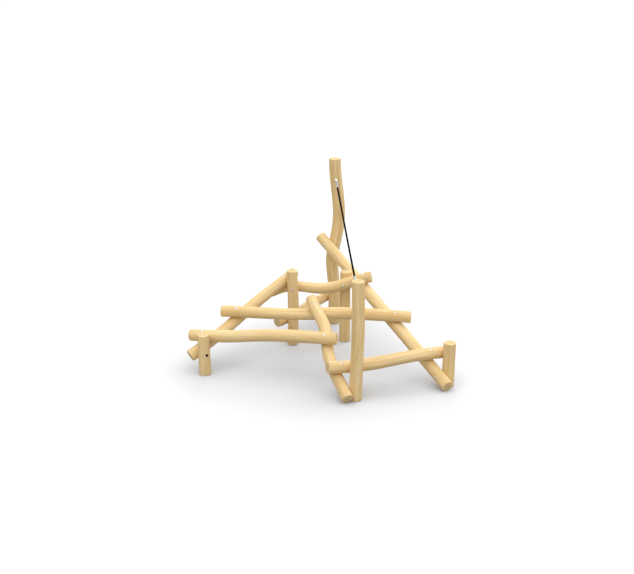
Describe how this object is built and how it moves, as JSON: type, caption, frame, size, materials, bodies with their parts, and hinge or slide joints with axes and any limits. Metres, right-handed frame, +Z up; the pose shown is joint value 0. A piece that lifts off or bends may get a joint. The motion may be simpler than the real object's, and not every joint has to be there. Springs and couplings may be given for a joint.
{
  "type": "log climbing frame",
  "caption": "Climbing frame of crooked round timber posts and slanted, crossed logs bolted together, with a taut hand rope between two posts.",
  "frame": {"origin": "on the ground under the middle of the whole frame's box", "axes": "+Z up, +X to the right along the long level log seen from the front, +Y from the front posts to the tall rear post"},
  "size_m": [2.7115, 2.552, 1.9366],
  "materials": {
    "post_timber": "debarked, sanded, untreated",
    "log_timber": "debarked, sanded, untreated",
    "fastener_steel": "satin stainless",
    "sleeve_metal": "pressed, satin",
    "rope_black": "stranded polypropylene over steel core"
  },
  "bodies": {
    "root": {"bolt_log_front_curved_to_log_long_level": "fastener_steel", "bolt_log_front_curved_to_post_front_centre": "fastener_steel", "bolt_log_left_level_to_log_front_curved": "fastener_steel", "bolt_log_left_level_to_log_left_slanted": "fastener_steel", "bolt_log_left_slanted_to_log_upper_wavy": "fastener_steel", "bolt_log_long_level_to_log_left_slanted": "fastener_steel", "bolt_log_long_level_to_log_right_slanted": "fastener_steel", "bolt_log_right_level_to_log_front_curved": "fastener_steel", "bolt_log_right_level_to_log_right_slanted": "fastener_steel", "bolt_log_right_slanted_to_post_rear_tall": "fastener_steel", "bolt_log_right_slanted_to_post_right": "fastener_steel", "bolt_log_upper_wavy_to_log_right_slanted": "fastener_steel", "bolt_log_upper_wavy_to_post_rear_centre": "fastener_steel", "bolt_post_front_left_to_log_left_slanted": "fastener_steel", "bolt_post_mid_left_to_log_upper_wavy": "fastener_steel", "cap_nuts": "fastener_steel", "eye_screw_bottom": "fastener_steel", "eye_screw_top": "fastener_steel", "hand_rope": "rope_black", "log_front_curved": "log_timber", "log_left_level": "log_timber", "log_left_slanted": "log_timber", "log_long_level": "log_timber", "log_rear_short": "log_timber", "log_right_level": "log_timber", "log_right_slanted": "log_timber", "log_upper_wavy": "log_timber", "post_front_centre": "post_timber", "post_front_left": "post_timber", "post_mid_left": "post_timber", "post_rear_centre": "post_timber", "post_rear_tall": "post_timber", "post_right": "post_timber", "rope_end_bottom": "sleeve_metal", "rope_end_top": "sleeve_metal", "screw_log_rear_short_to_post_mid_left": "fastener_steel", "screw_log_rear_short_to_post_rear_tall": "fastener_steel", "washers_head": "fastener_steel", "washers_nut": "fastener_steel"}
  },
  "joints": []
}
